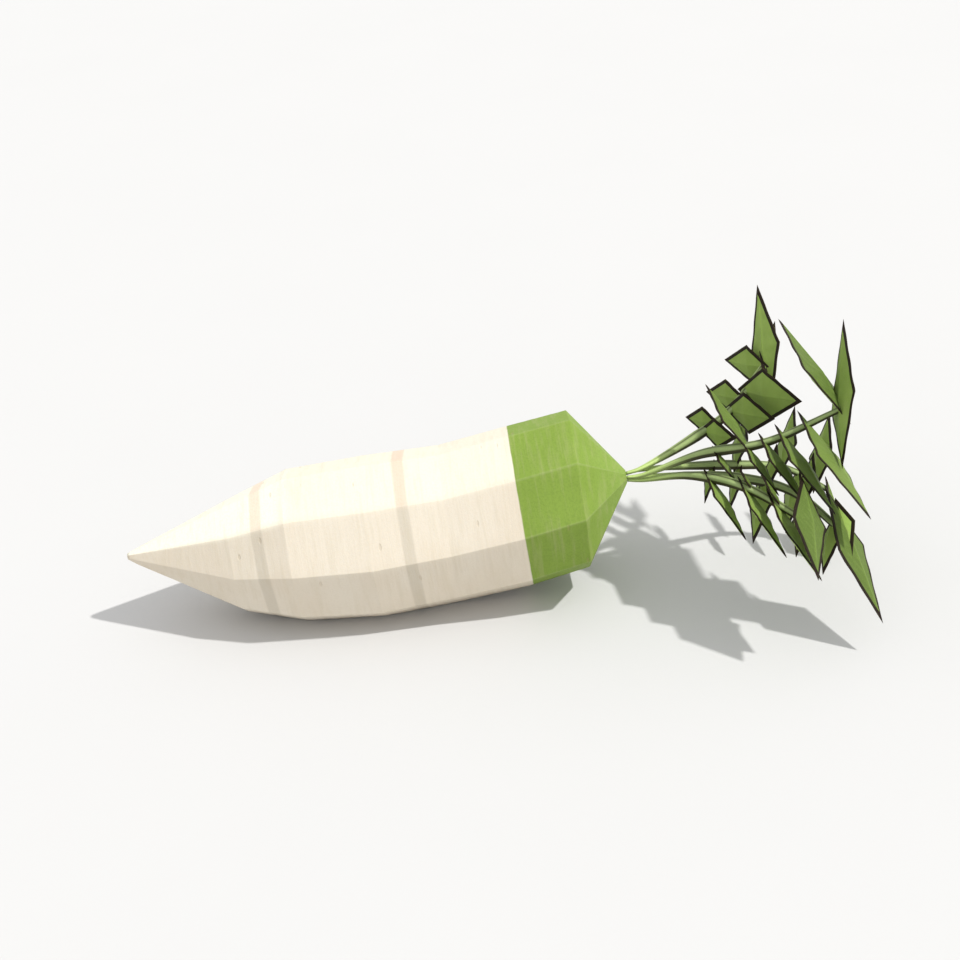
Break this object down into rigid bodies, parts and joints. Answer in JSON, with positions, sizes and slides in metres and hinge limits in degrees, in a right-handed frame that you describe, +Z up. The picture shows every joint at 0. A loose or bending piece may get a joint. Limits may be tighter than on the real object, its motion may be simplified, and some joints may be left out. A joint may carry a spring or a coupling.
{
  "type": "daikon radish",
  "caption": "Whole white daikon radish with a green shoulder, lying on its belly with its bunch of leafy stalks fanning out from the crown.",
  "frame": {"origin": "middle of the small flat on the belly, where the radish rests on a surface", "axes": "+X along the root towards the crown and leaves, +Z up"},
  "size_m": [0.3711, 0.1595, 0.1353],
  "materials": {
    "skin": "smooth vegetable skin, white below and green at the shoulder, slightly moist",
    "foliage": "matt green leaf with paler stalks"
  },
  "bodies": {
    "root": {"root": "skin", "leaf_1": "foliage", "leaf_2": "foliage", "leaf_3": "foliage", "leaf_4": "foliage", "leaf_5": "foliage"}
  },
  "joints": []
}
